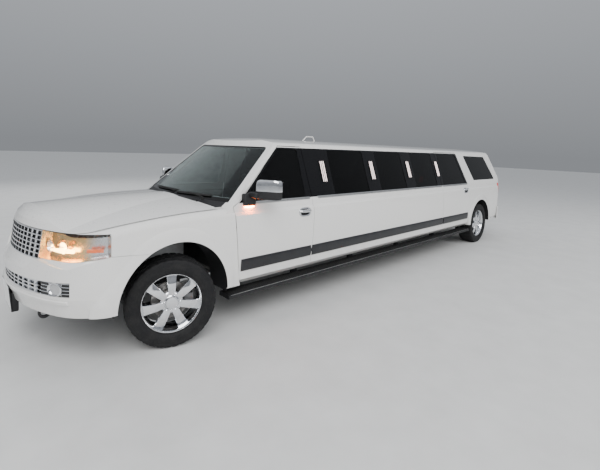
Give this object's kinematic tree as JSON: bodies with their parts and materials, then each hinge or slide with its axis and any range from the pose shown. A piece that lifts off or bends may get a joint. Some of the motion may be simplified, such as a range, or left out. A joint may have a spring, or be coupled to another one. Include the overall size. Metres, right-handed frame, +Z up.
{
  "type": "stretch limousine",
  "caption": "Stretched full-size sport utility limousine with dark side windows, slim pillar lights, egg-crate grille, opening doors, hood and liftgate, and steering front wheels.",
  "frame": {"origin": "on the ground under the middle of the car", "axes": "+X forward to the nose, +Y to the car's left, +Z up"},
  "size_m": [9.3538, 2.5184, 2.021],
  "materials": {
    "pearl_paint": "pearl gloss",
    "dark_glass": "tinted",
    "clear_glass": "clear",
    "chrome_trim": "polished",
    "black_plastic": "matt",
    "black_frame": "satin",
    "bare_cast": "rough",
    "bare_alloy": "satin",
    "tyre_rubber": "matt",
    "black_leather": "grained",
    "grey_carpet": "woven",
    "dark_lacquer": "gloss",
    "red_lens": "ribbed",
    "soft_rubber": "matt"
  },
  "bodies": {
    "body": {"body_side_left": "pearl_paint", "body_side_right": "pearl_paint", "quarter_panel_left": "pearl_paint", "quarter_panel_right": "pearl_paint", "fender_left": "pearl_paint", "fender_right": "pearl_paint", "roof": "pearl_paint", "front_bumper": "pearl_paint", "rear_bumper": "pearl_paint", "side_glass": "dark_glass", "windshield": "clear_glass", "headlights": "clear_glass", "opera_lights": "clear_glass", "taillights": "red_lens", "grille": "chrome_trim", "lower_grille": "chrome_trim", "cowl_panel": "black_plastic", "wheel_liners": "black_plastic", "running_boards": "black_plastic", "dashboard": "black_plastic", "roof_aerial": "black_plastic", "chassis_frame": "black_frame", "front_suspension": "black_frame", "firewall": "black_frame", "rear_suspension": "bare_cast", "driveshaft": "bare_cast", "engine_block": "bare_alloy", "exhaust_system": "bare_alloy", "fuel_tank": "bare_alloy", "floor_pan": "grey_carpet", "front_seats": "black_leather", "lounge_seat": "black_leather", "bar_cabinet": "dark_lacquer", "partition": "dark_lacquer", "wipers": "soft_rubber"},
    "hood": {"hood": "pearl_paint"},
    "liftgate": {"liftgate": "pearl_paint", "liftgate_glass": "dark_glass"},
    "steering_wheel": {"steering_wheel": "black_leather"},
    "front_door_left": {"front_door_left": "pearl_paint", "front_door_glass_left": "dark_glass", "mirror_left": "chrome_trim"},
    "rear_door_left": {"rear_door_left": "pearl_paint", "rear_door_glass_left": "dark_glass"},
    "knuckle_left": {"knuckle_left": "bare_cast"},
    "front_wheel_left": {"front_rim_left": "chrome_trim", "front_tyre_left": "tyre_rubber"},
    "rear_wheel_left": {"rear_rim_left": "chrome_trim", "rear_tyre_left": "tyre_rubber"},
    "front_door_right": {"front_door_right": "pearl_paint", "front_door_glass_right": "dark_glass", "mirror_right": "chrome_trim"},
    "rear_door_right": {"rear_door_right": "pearl_paint", "rear_door_glass_right": "dark_glass"},
    "knuckle_right": {"knuckle_right": "bare_cast"},
    "front_wheel_right": {"front_rim_right": "chrome_trim", "front_tyre_right": "tyre_rubber"},
    "rear_wheel_right": {"rear_rim_right": "chrome_trim", "rear_tyre_right": "tyre_rubber"}
  },
  "joints": [
    {"name": "front_door_left_hinge", "type": "hinge", "parent": "body", "child": "front_door_left", "pos_m": [2.81718, 0.983, 0.46611], "axis": [-0.0914, 0, -0.9958], "range_deg": [0, 65]},
    {"name": "rear_door_left_hinge", "type": "hinge", "parent": "body", "child": "rear_door_left", "pos_m": [-1.668, 0.983, 0.462], "axis": [0, 0, -1], "range_deg": [0, 70]},
    {"name": "kingpin_left", "type": "hinge", "parent": "body", "child": "knuckle_left", "pos_m": [3.512, 0.761, 0.406], "axis": [0, 0, 1], "range_deg": [-13, 47]},
    {"name": "front_axle_left", "type": "hinge", "parent": "knuckle_left", "child": "front_wheel_left", "pos_m": [3.53861, 0.84802, 0.406], "axis": [0.2924, 0.9563, 0], "continuous": true},
    {"name": "rear_axle_left", "type": "hinge", "parent": "body", "child": "rear_wheel_left", "pos_m": [-3.32, 0.852, 0.406], "axis": [0, 1, 0], "continuous": true},
    {"name": "front_door_right_hinge", "type": "hinge", "parent": "body", "child": "front_door_right", "pos_m": [2.81718, -0.983, 0.46611], "axis": [0.0914, 0, 0.9958], "range_deg": [0, 65]},
    {"name": "rear_door_right_hinge", "type": "hinge", "parent": "body", "child": "rear_door_right", "pos_m": [-1.668, -0.983, 0.462], "axis": [0, 0, 1], "range_deg": [0, 70]},
    {"name": "kingpin_right", "type": "hinge", "parent": "body", "child": "knuckle_right", "pos_m": [3.512, -0.761, 0.406], "axis": [0, 0, 1], "range_deg": [-13, 47]},
    {"name": "front_axle_right", "type": "hinge", "parent": "knuckle_right", "child": "front_wheel_right", "pos_m": [3.48539, -0.84802, 0.406], "axis": [0.2924, 0.9563, 0], "continuous": true},
    {"name": "rear_axle_right", "type": "hinge", "parent": "body", "child": "rear_wheel_right", "pos_m": [-3.32, -0.852, 0.406], "axis": [0, 1, 0], "continuous": true},
    {"name": "hood_hinge", "type": "hinge", "parent": "body", "child": "hood", "pos_m": [3.097, 0, 1.225], "axis": [0, -1, 0], "range_deg": [0, 45]},
    {"name": "liftgate_hinge", "type": "hinge", "parent": "body", "child": "liftgate", "pos_m": [-4.28212, 0, 1.807], "axis": [0, 1, 0], "range_deg": [0, 80]},
    {"name": "steering_column", "type": "hinge", "parent": "body", "child": "steering_wheel", "pos_m": [2.327, 0.4, 1.085], "axis": [-0.9063, 0, 0.4226], "range_deg": [-234, 846]}
  ],
  "couplings": [
    {"joint": "kingpin_right", "follows": "kingpin_left", "ratio": 1},
    {"joint": "steering_column", "follows": "kingpin_left", "ratio": 18}
  ]
}
